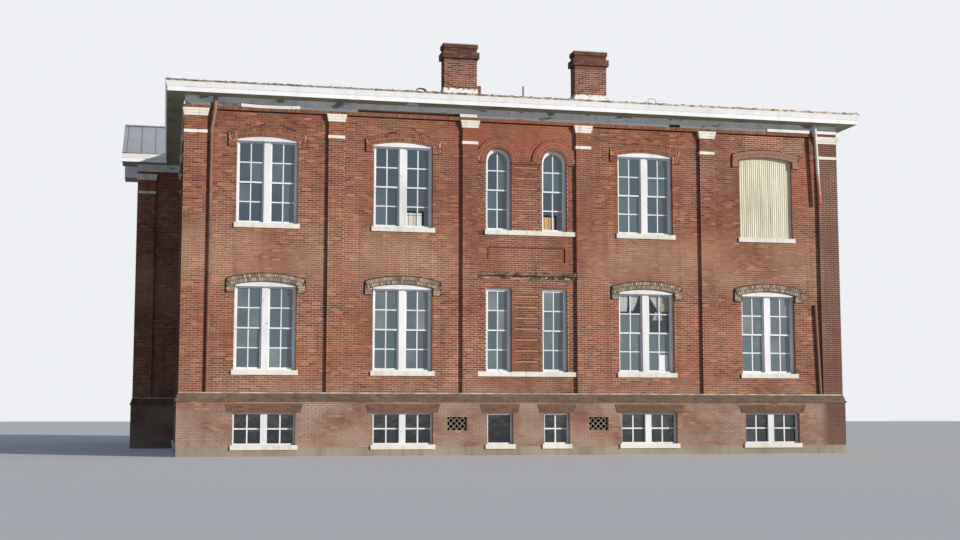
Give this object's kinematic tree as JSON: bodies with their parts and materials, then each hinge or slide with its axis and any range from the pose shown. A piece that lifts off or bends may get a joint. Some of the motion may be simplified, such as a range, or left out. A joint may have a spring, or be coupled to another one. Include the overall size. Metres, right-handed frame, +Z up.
{
  "type": "brick school building",
  "caption": "Brick school building of tall storeys on a raised basement, with pilasters, hooded windows, a low hipped roof, chimneys and gabled side pavilions.",
  "frame": {"origin": "on the level ground, at the middle of the plan's bounding box", "axes": "+Z up; the front with the round-headed centre windows looks along -Y and +X runs to the right of someone who faces it"},
  "size_m": [24.36, 27.92, 12.3],
  "materials": {
    "brick": "matte",
    "weathered_brick": "matte",
    "parging": "matte",
    "sill_stone": "matte",
    "capital_paint": "matte",
    "white_wood": "satin",
    "grey_wood": "matte",
    "glass": "gloss",
    "roof_metal": "satin",
    "floor": "matte",
    "cream_sheet": "satin",
    "white_board": "matte",
    "tan_board": "matte",
    "curtain": "matte",
    "brown_pipe": "matte",
    "white_pipe": "satin",
    "tan_pipe": "matte",
    "grille_iron": "matte",
    "door_wood": "satin"
  },
  "bodies": {
    "root": {"front_wall": "brick", "back_wall": "brick", "left_wall": "brick", "right_wall": "brick", "pavilion_walls": "brick", "front_base_wall": "brick", "back_base_wall": "brick", "side_base_walls": "brick", "water_table": "weathered_brick", "front_cornice": "white_wood", "back_cornice": "white_wood", "side_cornices": "white_wood", "main_roof": "roof_metal", "pavilion_roofs": "roof_metal", "verge_boards": "white_wood", "ground_floor": "parging", "first_floor": "floor", "second_floor": "floor", "attic_ceiling": "floor", "hood_mouldings": "weathered_brick", "string_courses": "weathered_brick", "basement_lintels": "weathered_brick", "stone_sills": "sill_stone", "front_window_frames": "white_wood", "back_window_frames": "white_wood", "side_window_frames": "white_wood", "front_sashes": "white_wood", "back_sashes": "white_wood", "side_sashes": "white_wood", "front_glass": "glass", "back_glass": "glass", "side_glass": "glass", "corrugated_sheet": "cream_sheet", "white_board": "white_board", "tan_board": "tan_board", "window_curtains": "curtain", "pilaster_capitals": "capital_paint", "pilaster_bands": "capital_paint", "frieze_boards": "grey_wood", "frieze_strips": "white_wood", "chimneys": "brick", "chimney_skirts": "parging", "vent_pipe": "white_pipe", "left_downspout": "brown_pipe", "right_downspout_top": "white_pipe", "loose_downspout": "tan_pipe", "entrance_frames": "white_wood", "entrance_doors": "door_wood", "vent_grilles": "grille_iron"}
  },
  "joints": []
}
